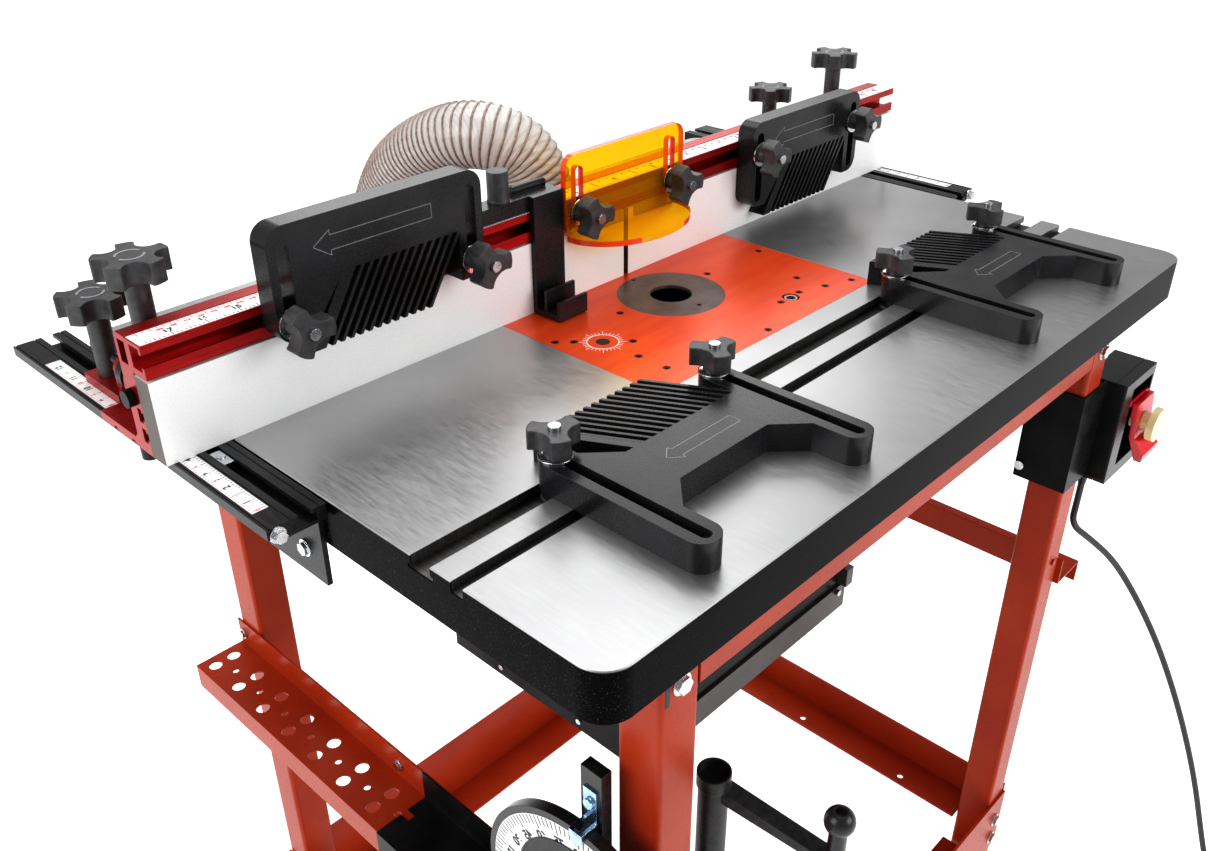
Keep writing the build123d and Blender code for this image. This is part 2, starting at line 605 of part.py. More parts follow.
def flat_board(cx):
    """Flat featherboard with two slotted arms, leaning fingers and its two slot bolts."""
    z0, z1 = 0.0, 22.0
    parts = [block(cx - 70, cx + 70, -227, -180, z0, z1)]
    for sx in (-1, 1):
        x = cx + sx * BOARD_SLOT
        parts.append(slab(x - 13, x + 13, -286.5, -140, z0, z1, 12.9))
        inner = x - sx * 13
        for y0, y1 in ((-227, -250), (-180, -157)):
            if sx > 0 and y0 == -180:
                continue
            parts.append(prism_z([(inner + sx, y0), (inner + sx, y1), (inner - sx * 23, y0)], z0, z1))
    board = total(parts)
    for sx in (-1, 1):
        x = cx + sx * BOARD_SLOT
        board = board - slab(x - 4.5, x + 4.5, -281, -146, -1, 30, 4.4)
    fingers = []
    for k in range(FINGERS + 1):
        root = cx - 38 + 8.1 * k
        wide = 8 if k == 0 else 3.2
        fingers.append(prism_z([(root, -181), (root + wide, -181), (root + wide - 34, -118),
                                (root - 34, -118)], z0, z1))
    limit = block(cx - 80, cx + 68.9, -182, -118, z0, z1)
    board = total([board] + [finger & limit for finger in fingers])
    return board


def slot_knob(x):
    """Three lobed knob whose bolt head rides in the table's wide slot."""
    knob = star_knob(x, SLOT_Y, 29, 43, 18.5, 3, 24, 8, 24)
    washer = zcyl(x, SLOT_Y, 22, 24, 11.5)
    bolt = zcyl(x, SLOT_Y, -7, 45, 4) + zcyl(x, SLOT_Y, -9.6, -6.8, 11.2)
    return knob + washer + bolt


def stop_arm():
    hang = block(STOP_X0, STOP_X1, 55, 60, 6, 105)
    hang = hang + block(STOP_X0, STOP_X1, 55, 79, 92, 105)
    foot = block(STOP_X0, STOP_X1, 28, 60, 1, 5) + block(STOP_X0, STOP_X1, 55, 60, 1, 10)
    lips = block(STOP_X0, STOP_X1, 28, 31, 1, 18) + block(STOP_X0, STOP_X1, 43, 46, 1, 25)
    bar = block(-182, STOP_X0, 61, 79, 92, 105)
    rod = xcyl(75, 108, -119, -83, 3.5) + block(-119, -83, 72, 78, 104, 107)
    arm = total([hang, foot, lips, bar, rod])
    return arm - zcyl(-138, 70, 80, 120, 4.4)


def stop_knob():
    return zcyl(-138, 70, 107, 131, 9) + zcyl(-138, 70, 105, 107, 9.4) + zcyl(-138, 70, 93, 106, 4)


# ---- hose and lead ------------------------------------------------------------------------
def route(points, closeness=0.45):
    """Straight runs joined by tangent arcs."""
    radii = []
    for k in range(1, len(points) - 1):
        a, b, c = [Vector(*p) for p in points[k - 1:k + 2]]
        u, v = b - a, c - b
        turn = math.radians(u.get_angle(v))
        short = min(u.length, v.length)
        radii.append(closeness * short / math.tan(turn / 2) if turn > 1e-4 else 0)
    return FilletPolyline(*points, radius=radii), radii


def swept(points, r, bore, label):
    line, radii = route(points)
    start = line % 0
    ring = Circle(r)
    if bore:
        ring = ring - Circle(bore)
    section = Plane(origin=line @ 0, z_dir=start) * ring
    tube = sweep(section, path=line)
    area = math.pi * (r * r - bore * bore)
    print(label, "length", round(line.length, 1), "volume ratio", round(tube.volume / (area * line.length), 4),
          "radii", [round(x) for x in radii])
    return tube


COIL_XY = (606.0, -566.0)


def lead_coil():
    ring = Pos(COIL_XY[0], COIL_XY[1], FLOOR + 10) * Torus(37, 10)
    return ring


def lead_plug():
    """Plug lying beside the coil, its body along +X."""
    x, y = COIL_XY[0] + 27, COIL_XY[1] - 37
    body = slab(x, x + 50, y - 18, y + 18, FLOOR + 1, FLOOR + 25, 8)
    blades = [block(x + 50, x + 68, y + dy - 1, y + dy + 1, FLOOR + 10, FLOOR + 17) for dy in (-6, 6)]
    return total([body] + blades)


# ---- write everything ---------------------------------------------------------------------
save("table_top", table_top())
save("router_plate", router_plate())
save("insert_ring", insert_ring())
save("plate_screws", plate_screws())
save("legs", legs())
save("leg_feet", leg_feet())
save("apron_frame", apron_frame())
save("stretchers", stretchers())
save("bit_racks", bit_racks())
save("frame_bolts", frame_bolts())
save("fence_rails", fence_rails())
save("dust_box", dust_box())
save("dust_box_front", dust_box_front())
save("lift_posts", lift_posts())
save("lift_carriage", lift_carriage())
save("lift_screw", lift_screw())
save("switch_bracket", switch_bracket())
save("switch_box", switch_box())
save("switch_paddle", switch_paddle())
save("switch_button", switch_button())
save("mitre_tray", mitre_tray())
save("mitre_bar", mitre_bar())
save("mitre_head", mitre_head())
save("crank_holder", crank_holder())
save("crank_arm", crank_arm())
save("crank_grip", crank_grip())
save("fence_beam", fence_beam())
save("fence_shroud", fence_shroud())
save("face_left", fence_face(-1))
save("face_right", fence_face(1))
for side, tag in ((-1, "left"), (1, "right")):
    save("lock_knob_" + tag, lock_knob(side, LOCK_Y, 128.0, 7.7))
    save("rail_knob_" + tag, lock_knob(side, MICRO_Y, 75.0, FOOT_T))
    save("micro_block_" + tag, micro_block(side))
    save("micro_wheel_" + tag, micro_wheel(side))
    save("guard_knob_" + tag, facing_knob(side * GUARD_SLOT, 28, 54))
save("bit_guard", bit_guard())
for tag, place in (("left", LEFT_UPRIGHT), ("right", RIGHT_UPRIGHT)):
    save("upright_board_" + tag, upright_board(place))
    save("upright_knob_" + tag + "_a", facing_knob(place[0] - BOARD_SLOT, 14, 41))
    save("upright_knob_" + tag + "_b", facing_knob(place[0] + BOARD_SLOT, 14, 41))
for tag, cx in (("left", FLAT_LEFT), ("right", FLAT_RIGHT)):
    save("flat_board_" + tag, flat_board(cx))
    save("flat_knob_" + tag + "_a", slot_knob(cx - BOARD_SLOT))
    save("flat_knob_" + tag + "_b", slot_knob(cx + BOARD_SLOT))
save("stop_arm", stop_arm())
save("stop_knob", stop_knob())
save("hose_clamp", hose_clamp())
save("hose", swept(HOSE_POINTS, HOSE_R, HOSE_IN, "hose"))
save("mains_lead", swept(LEAD_POINTS, LEAD_R, 0, "lead"))
save("lead_coil", lead_coil())
save("lead_plug", lead_plug())

for name, bounds, volume, count in WRITTEN:
    print(f"{name:24s} {count:3d} {volume / 1000:9.1f} cm3  "
          f"{bounds.min.X:8.1f} {bounds.max.X:8.1f} {bounds.min.Y:8.1f} {bounds.max.Y:8.1f} "
          f"{bounds.min.Z:8.1f} {bounds.max.Z:8.1f}")
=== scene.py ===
"""Looks of the router table: materials, printed scales, hose, lead, small fittings, light and camera."""
import json
import math
import bpy
import bmesh
from mathutils import Matrix, Vector


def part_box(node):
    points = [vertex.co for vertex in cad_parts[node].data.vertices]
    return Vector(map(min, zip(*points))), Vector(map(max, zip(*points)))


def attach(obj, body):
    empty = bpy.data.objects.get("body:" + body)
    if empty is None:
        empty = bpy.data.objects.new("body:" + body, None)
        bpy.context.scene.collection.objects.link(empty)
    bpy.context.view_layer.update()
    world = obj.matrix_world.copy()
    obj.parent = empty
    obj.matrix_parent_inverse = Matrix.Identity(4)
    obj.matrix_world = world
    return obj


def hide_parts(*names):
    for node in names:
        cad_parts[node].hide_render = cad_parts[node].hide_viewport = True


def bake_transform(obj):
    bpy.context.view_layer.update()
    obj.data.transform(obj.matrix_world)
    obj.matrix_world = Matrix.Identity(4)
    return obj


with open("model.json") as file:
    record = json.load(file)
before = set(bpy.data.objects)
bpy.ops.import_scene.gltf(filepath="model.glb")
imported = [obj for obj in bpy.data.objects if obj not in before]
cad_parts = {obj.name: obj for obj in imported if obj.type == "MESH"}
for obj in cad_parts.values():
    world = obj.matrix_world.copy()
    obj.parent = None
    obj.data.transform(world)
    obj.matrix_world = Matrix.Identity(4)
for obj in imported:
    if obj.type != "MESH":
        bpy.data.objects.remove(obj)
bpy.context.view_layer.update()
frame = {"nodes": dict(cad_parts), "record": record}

# ---- the datum: middle of the table's working surface, millimetres ---------------------------
TABLE_LOW, TABLE_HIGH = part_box("table_top")
DATUM = Vector(((TABLE_LOW[0] + TABLE_HIGH[0]) / 2, (TABLE_LOW[1] + TABLE_HIGH[1]) / 2, TABLE_HIGH[2]))
FLOOR = -DATUM.z * 1000
GUARD_VISOR_TOP = 60.0      # above this the guard is an upright sheet
FENCE_SLOT_Z = 79.6         # middle of the tee slot in the fence's front
WIDE_SLOT_Y = -150.5        # middle of the mitre slot
RAIL_X = 424.0              # the side rails' slots, each side of the middle
UPRIGHTS = {"left": (-274.0, 64.0), "right": (262.0, 25.0)}
FLATS = {"left": -209.0, "right": 210.0}
BOLT_OFFSETS = (("a", -82), ("b", 82))

# ---- the cast top's zones, metres ------------------------------------------------------------
TOP_CORNER = 0.022
ENAMEL_EDGE = 0.0009
SLOT_DEPTH = 0.0110
GROUND_SKIN = 0.0006

# ---- light -----------------------------------------------------------------------------------
FLOOR_GLOW = 0.50
WORLD_LIGHT = 0.40


def at(x, y, z):
    """Point given in millimetres from the datum, in the frame's metres."""
    return DATUM + Vector((x, y, z)) / 1000


# ---- camera ----------------------------------------------------------------------------------
CAMERA_PLACE = (-724.0, -611.8, 412.4)
CAMERA_AIM = Vector((0.6246, 0.5977, -0.5025))
CAMERA_ROLL = math.radians(-0.41)
FILM_WIDTH = 36.0
FOCAL_SHARE = 1135 / 1214   # focal length over the picture's width
camera_data = bpy.data.cameras.new("camera")
camera_data.sensor_width = FILM_WIDTH
camera_data.lens = FILM_WIDTH * FOCAL_SHARE
camera_data.clip_start = 0.02
camera = bpy.data.objects.new("camera", camera_data)
bpy.context.scene.collection.objects.link(camera)
camera.matrix_world = (Matrix.Translation(at(*CAMERA_PLACE))
                       @ CAMERA_AIM.to_track_quat("-Z", "Y").to_matrix().to_4x4()
                       @ Matrix.Rotation(CAMERA_ROLL, 4, "Z"))
bpy.context.scene.camera = camera


# ---- node helpers ----------------------------------------------------------------------------
class Look:
    """One procedural material under construction."""

    def __init__(self, name):
        self.material = bpy.data.materials.new(name)
        self.material.use_nodes = True
        self.tree = self.material.node_tree
        self.tree.nodes.clear()
        self.output = self.tree.nodes.new("ShaderNodeOutputMaterial")
        self.place = self.tree.nodes.new("ShaderNodeTexCoord").outputs["Object"]

    def node(self, kind, **settings):
        node = self.tree.nodes.new(kind)
        for key, value in settings.items():
            setattr(node, key, value)
        return node

    def link(self, source, target):
        self.tree.links.new(source, target)

    def noise(self, scale, stretch=(1, 1, 1), detail=5.0, rough=0.55):
        mapping = self.node("ShaderNodeMapping")
        mapping.inputs["Scale"].default_value = stretch
        self.link(self.place, mapping.inputs["Vector"])
        noise = self.node("ShaderNodeTexNoise")
        noise.inputs["Scale"].default_value = scale
        noise.inputs["Detail"].default_value = detail
        noise.inputs["Roughness"].default_value = rough
        self.link(mapping.outputs["Vector"], noise.inputs["Vector"])
        return noise.outputs["Fac"]

    def ramp(self, source, stops):
        ramp = self.node("ShaderNodeValToRGB")
        elements = ramp.color_ramp.elements
        while len(elements) < len(stops):
            elements.new(0.5)
        for element, (place, colour) in zip(elements, stops):
            element.position = place
            element.color = (*colour[:3], 1)
        self.link(source, ramp.inputs["Fac"])
        return ramp.outputs["Color"]

    def spread(self, source, low, high):
        node = self.node("ShaderNodeMapRange")
        node.inputs["From Min"].default_value = 0.3
        node.inputs["From Max"].default_value = 0.7
        node.inputs["To Min"].default_value = low
        node.inputs["To Max"].default_value = high
        self.link(source, node.inputs["Value"])
        return node.outputs["Result"]

    def surface(self, colour, rough, metallic=0.0, coat=0.0, bump=None, bump_height=0.0001,
                bump_strength=0.3, edge=0.0004, specular=0.5):
        shader = self.node("ShaderNodeBsdfPrincipled")
        if hasattr(colour, "is_linked"):
            self.link(colour, shader.inputs["Base Color"])
        else:
            shader.inputs["Base Color"].default_value = (*colour, 1)
        if hasattr(rough, "is_linked"):
            self.link(rough, shader.inputs["Roughness"])
        else:
            shader.inputs["Roughness"].default_value = rough
        shader.inputs["Metallic"].default_value = metallic
        shader.inputs["Coat Weight"].default_value = coat
        shader.inputs["Coat Roughness"].default_value = 0.12
        shader.inputs["Specular IOR Level"].default_value = specular
        normal = None
        if edge:
            bevel = self.node("ShaderNodeBevel")
            bevel.samples = 4
            bevel.inputs["Radius"].default_value = edge
            normal = bevel.outputs["Normal"]
        if bump is not None:
            dent = self.node("ShaderNodeBump")
            dent.inputs["Distance"].default_value = bump_height
            dent.inputs["Strength"].default_value = bump_strength
            self.link(bump, dent.inputs["Height"])
            if normal is not None:
                self.link(normal, dent.inputs["Normal"])
            normal = dent.outputs["Normal"]
        if normal is not None:
            self.link(normal, shader.inputs["Normal"])
        return shader.outputs["BSDF"]

    def mix(self, mask, first, second):
        node = self.node("ShaderNodeMixShader")
        self.link(mask, node.inputs["Fac"])
        self.link(first, node.inputs[1])
        self.link(second, node.inputs[2])
        return node.outputs["Shader"]

    def math(self, operation, first, second=None):
        node = self.node("ShaderNodeMath", operation=operation)
        for socket, value in zip(node.inputs, (first, second)):
            if value is None:
                continue
            if hasattr(value, "is_linked"):
                self.link(value, socket)
            else:
                socket.default_value = value
        return node.outputs[0]

    def axis(self, letter, source=None):
        split = self.node("ShaderNodeSeparateXYZ")
        self.link(source or self.place, split.inputs[0])
        return split.outputs[letter]

    def finish(self, shader):
        self.link(shader, self.output.inputs["Surface"])
        return self.material


def plain(name, dark, light, rough, metallic=0.0, scale=90, stretch=(1, 1, 1), grain=900, height=0.00006,
          strength=0.25, coat=0.0, edge=0.0004, specular=0.5):
    """Two tones drifting over the surface, with a fine grain in roughness and height."""
    look = Look(name)
    tone = look.ramp(look.noise(scale, stretch), [(0.35, dark), (0.65, light)])
    fine = look.noise(grain, stretch, 3.0)
    roughness = look.spread(fine, rough[0], rough[1])
    return look.finish(look.surface(tone, roughness, metallic, coat, fine, height, strength, edge, specular))


def cast_top_material():
    """Ground iron on top, painted shade on its recessed faces, speckled black enamel on the rim and below."""
    look = Look("cast_top")
    grind = look.noise(60, (9, 1, 1), 6.0, 0.6)
    cloud = look.noise(5.0, (1, 1, 1), 4.0)
    mottled = look.math("ADD", look.math("MULTIPLY", grind, 0.25), look.math("MULTIPLY", cloud, 0.75))
    tone = look.ramp(mottled, [(0.36, (0.36, 0.36, 0.365)), (0.62, (0.46, 0.46, 0.46))])
    fine = look.noise(1400, (1, 1, 1), 2.0)
    ground = look.surface(tone, look.spread(grind, 0.30, 0.40), 0.90, 0.0, fine, 0.00004, 0.35, 0.0003)
    speck = look.noise(1100, (1, 1, 1), 1.0)
    dots = look.ramp(speck, [(0.64, (0.002, 0.002, 0.002)), (0.76, (0.05, 0.05, 0.05))])
    enamel = look.surface(dots, look.spread(fine, 0.20, 0.30), 0.0, 0.0, fine, 0.00006, 0.25, 0.0006, 0.02)
    centred = look.node("ShaderNodeVectorMath", operation="SUBTRACT")
    look.link(look.place, centred.inputs[0])
    centred.inputs[1].default_value = DATUM
    folded = look.node("ShaderNodeVectorMath", operation="ABSOLUTE")
    look.link(centred.outputs[0], folded.inputs[0])
    half_x = (TABLE_HIGH[0] - TABLE_LOW[0]) / 2
    half_y = (TABLE_HIGH[1] - TABLE_LOW[1]) / 2
    shifted = look.node("ShaderNodeVectorMath", operation="SUBTRACT")
    look.link(folded.outputs[0], shifted.inputs[0])
    shifted.inputs[1].default_value = (half_x - TOP_CORNER, half_y - TOP_CORNER, 10.0)
    positive = look.node("ShaderNodeVectorMath", operation="MAXIMUM")
    look.link(shifted.outputs[0], positive.inputs[0])
    length = look.node("ShaderNodeVectorMath", operation="LENGTH")
    look.link(positive.outputs[0], length.inputs[0])
    outside = look.math("GREATER_THAN", length.outputs["Value"], TOP_CORNER - ENAMEL_EDGE)
    height = look.axis("Z")
    under_edge = look.math("LESS_THAN", height, DATUM.z - ENAMEL_EDGE)
    deep = look.math("LESS_THAN", height, DATUM.z - SLOT_DEPTH)
    rim = look.math("MULTIPLY", outside, under_edge)
    dark = look.math("MAXIMUM", rim, deep)
    # painted shade: the recessed faces (slot walls and floors, plate ledge) are coloured far darker than the
    # ground iron
    recess_shade_tone = look.ramp(grind, [(0.35, (0.070, 0.068, 0.066)), (0.65, (0.13, 0.125, 0.12))])
    recess_shade_metal = look.surface(recess_shade_tone, look.spread(fine, 0.34, 0.48), 0.8, 0.0, fine, 0.00004, 0.3, 0.0003)
    recess_shade_mask = look.math("LESS_THAN", height, DATUM.z - GROUND_SKIN)
    metal = look.mix(recess_shade_mask, ground, recess_shade_metal)
    return look.finish(look.mix(dark, metal, enamel))


def face_material():
    """White laminate, with the brown core showing on the cut ends."""
    look = Look("white_laminate")
    cloud = look.noise(12, (1, 1, 1), 3.0)
    white = look.ramp(cloud, [(0.3, (0.86, 0.865, 0.87)), (0.7, (0.93, 0.93, 0.925))])
    fine = look.noise(700)
    skin = look.surface(white, look.spread(fine, 0.22, 0.32), 0.0, 0.15, fine, 0.00002, 0.2, 0.0006)
    fibre = look.ramp(look.noise(420, (1, 1, 4)), [(0.3, (0.085, 0.075, 0.068)), (0.7, (0.15, 0.13, 0.12))])
    core = look.surface(fibre, 0.7, 0.0, 0.0, fine, 0.0002, 0.4, 0.0)
    normal = look.node("ShaderNodeTexCoord").outputs["Normal"]
    ends = look.math("GREATER_THAN", look.math("ABSOLUTE", look.axis("X", normal)), 0.8)
    return look.finish(look.mix(ends, skin, core))


def thin_clear(look, tint, gloss, share, rough):
    """Clear sheet: light goes straight through, tinted, with a share of glossy plastic over it."""
    clear = look.node("ShaderNodeBsdfTransparent")
    clear.inputs["Color"].default_value = (*tint, 1)
    fine = look.noise(220)
    skin = look.surface(gloss, rough, 0.0, 0.0, fine, 0.00003, 0.2, 0.0, 0.6)
    node = look.node("ShaderNodeMixShader")
    node.inputs["Fac"].default_value = share
    look.link(clear.outputs[0], node.inputs[1])
    look.link(skin, node.inputs[2])
    return node.outputs[0]


def amber_material():
    """Amber sheet, clear through its faces and deep orange red on its sawn edges."""
    look = Look("amber_acrylic")
    body = look.ramp(look.noise(25), [(0.3, (0.94, 0.40, 0.008)), (0.7, (0.98, 0.48, 0.012))])
    sheet = thin_clear(look, (1.0, 0.80, 0.10), body, 0.20, 0.06)
    edge_tone = look.ramp(look.noise(40), [(0.3, (0.82, 0.045, 0.006)), (0.7, (0.92, 0.10, 0.010))])
    sawn = look.surface(edge_tone, 0.16, 0.0, 0.0, None, 0, 0, 0.0)
    normal = look.node("ShaderNodeTexCoord").outputs["Normal"]
    sideways = look.math("GREATER_THAN", look.math("ABSOLUTE", look.axis("X", normal)), 0.30)
    upward = look.math("GREATER_THAN", look.math("ABSOLUTE", look.axis("Z", normal)), 0.30)
    high = look.math("GREATER_THAN", look.axis("Z"), DATUM.z + GUARD_VISOR_TOP / 1000)
    edges = look.math("MAXIMUM", sideways, look.math("MULTIPLY", upward, high))
    return look.finish(look.mix(edges, sheet, sawn))


def hose_material():
    """Milky clear plastic hose."""
    look = Look("clear_hose")
    body = look.ramp(look.noise(25), [(0.3, (0.86, 0.84, 0.82)), (0.7, (0.93, 0.92, 0.90))])
    return look.finish(thin_clear(look, (0.94, 0.92, 0.90), body, 0.42, 0.14))


def floor_material():
    """Evenly lit white studio floor."""
    look = Look("floor")
    tone = look.ramp(look.noise(3), [(0.3, (0.90, 0.90, 0.90)), (0.7, (0.93, 0.93, 0.93))])
    paper = look.surface(tone, 0.85, 0.0, 0.0, None, 0, 0, 0.0)
    glow = look.node("ShaderNodeEmission")
    glow.inputs["Strength"].default_value = FLOOR_GLOW
    both = look.node("ShaderNodeAddShader")
    look.link(paper, both.inputs[0])
    look.link(glow.outputs[0], both.inputs[1])
    return look.finish(both.outputs[0])


MATERIALS = {
    "cast_top": cast_top_material(),
    "red_plate": plain("red_plate", (0.70, 0.058, 0.008), (0.78, 0.085, 0.014), (0.28, 0.38), 0.35, 14,
                       (1, 6, 1), 900, 0.00003, 0.3),
    "ring_grey": plain("ring_grey", (0.10, 0.080, 0.072), (0.16, 0.135, 0.125), (0.30, 0.45), 0.6, 60),
    "black_screw": plain("black_screw", (0.010, 0.010, 0.010), (0.035, 0.035, 0.035), (0.3, 0.5), 0.6, 300),
    "red_paint": plain("red_paint", (0.31, 0.026, 0.006), (0.37, 0.036, 0.009), (0.26, 0.36), 0.0, 14,
                       (1, 1, 1), 260, 0.00004, 0.05, 0.0, 0.0010, 0.15),
    "zinc": plain("zinc", (0.50, 0.52, 0.54), (0.72, 0.73, 0.75), (0.16, 0.30), 1.0, 120, (1, 1, 1), 900,
                  0.00005, 0.25),
    "black_anodised": plain("black_anodised", (0.010, 0.010, 0.011), (0.024, 0.024, 0.026), (0.26, 0.38),
                            0.3, 40, (12, 1, 12), 700, 0.00004, 0.3, 0.0, 0.0006, 0.25),
    "black_sheet": plain("black_sheet", (0.005, 0.005, 0.005), (0.012, 0.012, 0.012), (0.24, 0.36), 0.0, 30,
                         (1, 1, 1), 800, 0.00008, 0.25, 0.0, 0.0008, 0.08),
    "grey_sheet": plain("grey_sheet", (0.022, 0.019, 0.019), (0.040, 0.035, 0.035), (0.26, 0.38), 0.0, 20,
                        (1, 1, 1), 800, 0.00008, 0.3, 0.0, 0.0008, 0.5),
    "plain_steel": plain("plain_steel", (0.36, 0.36, 0.37), (0.54, 0.54, 0.55), (0.25, 0.40), 1.0, 200,
                         (1, 1, 8), 900, 0.00004, 0.3),
    "cast_aluminium": plain("cast_aluminium", (0.40, 0.40, 0.41), (0.54, 0.54, 0.55), (0.42, 0.58), 0.9, 90,
                            (1, 1, 1), 500, 0.00020, 0.4),
    "black_plastic": plain("black_plastic", (0.008, 0.008, 0.009), (0.018, 0.018, 0.020), (0.20, 0.32), 0.0,
                           24, (1, 1, 1), 900, 0.00003, 0.10, 0.0, 0.0007, 0.32),
    "red_plastic": plain("red_plastic", (0.62, 0.004, 0.010), (0.72, 0.008, 0.018), (0.18, 0.28), 0.0, 40,
                         (1, 1, 1), 700, 0.00004, 0.2, 0.2, 0.0012),
    "cream_plastic": plain("cream_plastic", (0.80, 0.66, 0.32), (0.90, 0.78, 0.46), (0.20, 0.32), 0.0, 60,
                           (1, 1, 1), 700, 0.00004, 0.2, 0.2, 0.0010),
    "black_steel": plain("black_steel", (0.008, 0.008, 0.009), (0.020, 0.020, 0.022), (0.16, 0.28), 0.2, 60,
                         (1, 1, 5), 600, 0.00003, 0.12, 0.0, 0.0006, 0.35),
    "black_cast": plain("black_cast", (0.008, 0.008, 0.009), (0.024, 0.024, 0.026), (0.30, 0.48), 0.0, 180,
                        (1, 1, 1), 1300, 0.00025, 0.5, 0.0, 0.0010, 0.25),
    "crimson_anodised": plain("crimson_anodised", (0.30, 0.004, 0.005), (0.42, 0.009, 0.008), (0.24, 0.36),
                              0.7, 30, (1, 14, 14), 700, 0.00004, 0.3, 0.0, 0.0006),
    "white_laminate": face_material(),
    "amber_acrylic": amber_material(),
    "knob_grey": plain("knob_grey", (0.026, 0.026, 0.028), (0.050, 0.050, 0.053), (0.34, 0.48), 0.0, 160,
                       (1, 1, 1), 1500, 0.00010, 0.45, 0.0, 0.0016, 0.5),
    "clear_hose": hose_material(),
    "lead_black": plain("lead_black", (0.008, 0.008, 0.008), (0.018, 0.018, 0.018), (0.40, 0.55), 0.0, 90),
    "white_print": plain("white_print", (0.80, 0.80, 0.80), (0.88, 0.88, 0.88), (0.40, 0.55), 0.0, 60,
                         edge=0.0),
    "black_print": plain("black_print", (0.006, 0.006, 0.006), (0.015, 0.015, 0.015), (0.45, 0.6), 0.0, 300,
                         edge=0.0),
    "red_print": plain("red_print", (0.60, 0.02, 0.02), (0.72, 0.04, 0.03), (0.45, 0.6), 0.0, 300, edge=0.0),
    "grey_line": plain("grey_line", (0.20, 0.20, 0.21), (0.30, 0.30, 0.31), (0.35, 0.5), 0.0, 300, edge=0.0),
    "brown_wire": plain("brown_wire", (0.20, 0.14, 0.115), (0.32, 0.24, 0.20), (0.35, 0.5), 0.3, 300,
                        edge=0.0),
    "blue_zinc": plain("blue_zinc", (0.26, 0.44, 0.62), (0.56, 0.72, 0.86), (0.14, 0.26), 1.0, 70),
    "floor": floor_material(),
}
SLOT_OF = {row["node"]: row.get("material_slot", row["node"]) for row in frame["record"]["subparts"]}
BODY_OF = {node: body for body, nodes in frame["record"]["behaviour"]["bodies"].items() for node in nodes}

for node_name, node_object in frame["nodes"].items():
    for slot in node_object.material_slots:
        slot.material = MATERIALS[SLOT_OF[node_name]]


# ---- geometry helpers ------------------------------------------------------------------------
def add_mesh(name, bm, material, body, smooth=True):
    mesh = bpy.data.meshes.new(name)
    bm.normal_update()
    bm.to_mesh(mesh)
    bm.free()
    if smooth:
        mesh.shade_smooth()
        mesh.set_sharp_from_angle(angle=math.radians(35))
    piece = bpy.data.objects.new(name, mesh)
    bpy.context.scene.collection.objects.link(piece)
    piece.data.materials.append(MATERIALS[material])
    if body:
        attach(piece, body)
    return piece


def into_box(bm, low, high):
    """Adds the box between two datum points."""
    a, b = at(*low), at(*high)
    size = b - a
    matrix = Matrix.Translation((a + b) / 2) @ Matrix.Diagonal((*size, 1))
    return bmesh.ops.create_cube(bm, size=1, matrix=matrix)["verts"]


def box_piece(name, low, high, material, body):
    bm = bmesh.new()
    into_box(bm, low, high)
    return add_mesh(name, bm, material, body)


TURN = {"x": Matrix.Rotation(math.radians(90), 4, "Y"), "y": Matrix.Rotation(math.radians(90), 4, "X"),
        "z": Matrix.Identity(4)}


def into_cylinder(bm, centre, axis, radius, length, sides=40, top_radius=None):
    matrix = Matrix.Translation(at(*centre)) @ TURN[axis]
    top = radius if top_radius is None else top_radius
    bmesh.ops.create_cone(bm, cap_ends=True, segments=sides, radius1=radius / 1000, radius2=top / 1000,
                          depth=length / 1000, matrix=matrix)


def ring_profile(bm, centre, axis, profile, sides=48):
    """Surface turned from (radius, height) pairs round an axis through centre; the profile is closed."""
    rows = []
    matrix = Matrix.Translation(at(*centre)) @ TURN[axis]
    for k in range(sides):
        angle = 2 * math.pi * k / sides
        row = []
        for radius, height in profile:
            point = Vector((radius * math.cos(angle), radius * math.sin(angle), height)) / 1000
            row.append(bm.verts.new(matrix @ point))
        rows.append(row)
    count = len(profile)
    for k in range(sides):
        for i in range(count):
            j = (i + 1) % count
            bm.faces.new((rows[k][i], rows[(k + 1) % sides][i], rows[(k + 1) % sides][j], rows[k][j]))
    bmesh.ops.recalc_face_normals(bm, faces=bm.faces[:])


def into_text(bm, words, centre, height, right, up):
    """Adds flat text, centred, with its own right and up directions in the frame."""
    curve = bpy.data.curves.new("words", "FONT")
    curve.body = words
    curve.size = height / 1000 * 1.4
    curve.align_x = "CENTER"
    curve.align_y = "CENTER"
    curve.extrude = 0.00008
    curve.offset = height / 1000 * 0.05
    holder = bpy.data.objects.new("words", curve)
    bpy.context.scene.collection.objects.link(holder)
    bpy.context.view_layer.update()
    mesh = bpy.data.meshes.new_from_object(holder.evaluated_get(bpy.context.evaluated_depsgraph_get()))
    right, up = Vector(right).normalized(), Vector(up).normalized()
    out = right.cross(up)
    turn = Matrix((right, up, out)).transposed().to_4x4()
    mesh.transform(Matrix.Translation(at(*centre)) @ turn)
    bm.from_mesh(mesh)
    bpy.data.objects.remove(holder)
    bpy.data.meshes.remove(mesh)


# ---- lead and hose routes --------------------------------------------------------------------
LEAD_ROUTE = [(384, -268, -268), (384, -268, -292), (376, -270, -318), (404, -286, -345),
              (440, -306, -384), (470, -332, -440), (494, -362, -505), (513, -392, -577),
              (529, -420, -652), (541, -446, -728), (549, -468, -802), (553, -486, -856),
              (561, -526, -886), (569, -566, -886)]
HOSE_ROUTE = [(3, 165, 16), (3, 165, 87), (-44, 203, 121), (-56, 285, 88), (-42, 362, 30),
              (-50, 384, -60), (-64, 372, -166), (-75, 300, -258), (-75, 176, -258)]
LEAD_RADIUS = 3.6
COIL_X, COIL_Y, COIL_RADIUS, COIL_PACK = 606.0, -566.0, 37.0, 6.2
COIL_TURNS = 4.25
POINTS_A_TURN = 16


